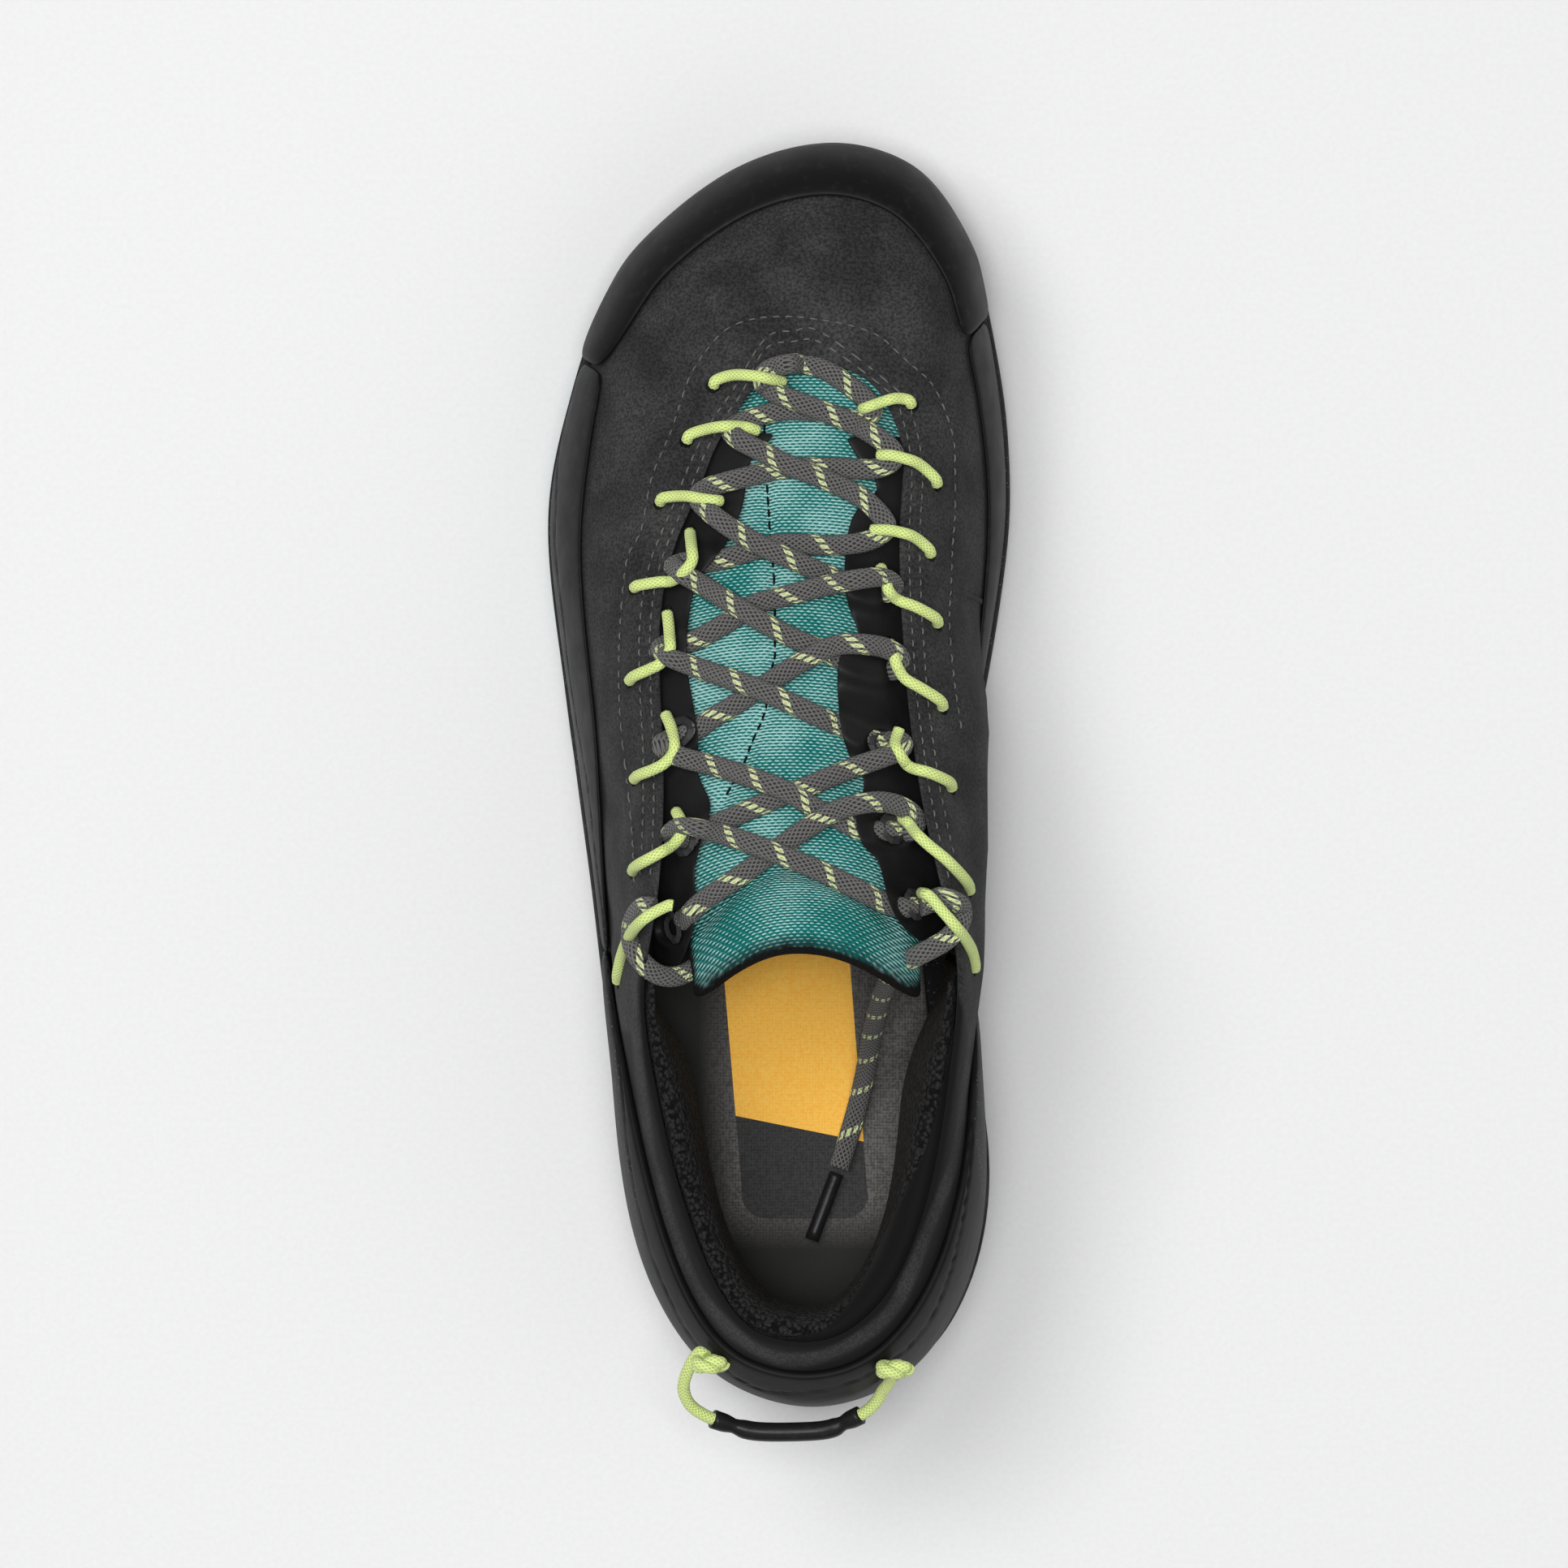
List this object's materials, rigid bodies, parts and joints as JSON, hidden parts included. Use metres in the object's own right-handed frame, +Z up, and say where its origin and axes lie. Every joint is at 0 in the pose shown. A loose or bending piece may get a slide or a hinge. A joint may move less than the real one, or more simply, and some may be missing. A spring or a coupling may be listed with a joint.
{
  "type": "approach shoe",
  "caption": "Low approach shoe for the left foot in charcoal suede with a rubber toe rand, teal mesh tongue, lime cord loops and a flecked lace.",
  "frame": {"origin": "centre of the shoe's box, on the floor that it stands on, without the cords that hang free", "axes": "+Z up, +Y towards the toe, +X towards the medial (big toe) side"},
  "size_m": [0.0992, 0.2719, 0.1104],
  "materials": {
    "black_rubber": "matte black sole rubber",
    "midsole_foam": "dark grey foam with fine pale speckles",
    "footbed_textile": "grey woven footbed with an orange printed heel panel",
    "suede": "charcoal suede with a short nap",
    "teal_mesh": "two-tone teal air mesh with black binding",
    "rand_rubber": "smooth black satin rubber",
    "counter_smooth": "smooth coated black band",
    "collar_knit": "black pile knit with a smooth rolled edge",
    "eyestay_smooth": "smooth coated microfibre, satin black",
    "eyelet_ring": "moulded dark grey ring",
    "lime_cord": "lime braided cord",
    "lace_braid": "dark grey braid with lime flecks",
    "sleeve_plastic": "black shrink sleeve"
  },
  "bodies": {
    "root": {"collar_lining": "collar_knit", "eyelet_lateral_6": "eyelet_ring", "eyelet_lateral_7": "eyelet_ring", "eyelet_lateral_8": "eyelet_ring", "eyelet_medial_6": "eyelet_ring", "eyelet_medial_7": "eyelet_ring", "eyelet_medial_8": "eyelet_ring", "eyestay_lateral": "eyestay_smooth", "eyestay_medial": "eyestay_smooth", "heel_counter": "counter_smooth", "insole": "footbed_textile", "lace": "lace_braid", "lace_end_inside": "lace_braid", "lace_end_lateral": "lace_braid", "lace_end_medial": "lace_braid", "lace_tip": "sleeve_plastic", "loop_lateral_1": "lime_cord", "loop_lateral_2": "lime_cord", "loop_lateral_3": "lime_cord", "loop_lateral_4": "lime_cord", "loop_lateral_5": "lime_cord", "loop_lateral_6": "lime_cord", "loop_lateral_7": "lime_cord", "loop_lateral_8": "lime_cord", "loop_medial_1": "lime_cord", "loop_medial_2": "lime_cord", "loop_medial_3": "lime_cord", "loop_medial_4": "lime_cord", "loop_medial_5": "lime_cord", "loop_medial_6": "lime_cord", "loop_medial_7": "lime_cord", "loop_medial_8": "lime_cord", "midsole": "midsole_foam", "outsole": "black_rubber", "pull_cord_lateral": "lime_cord", "pull_cord_medial": "lime_cord", "pull_knot_lateral": "lime_cord", "pull_knot_medial": "lime_cord", "pull_sleeve": "sleeve_plastic", "side_rand_lateral": "rand_rubber", "side_rand_medial": "rand_rubber", "toe_rand": "rand_rubber", "tongue": "teal_mesh", "upper": "suede"}
  },
  "joints": []
}
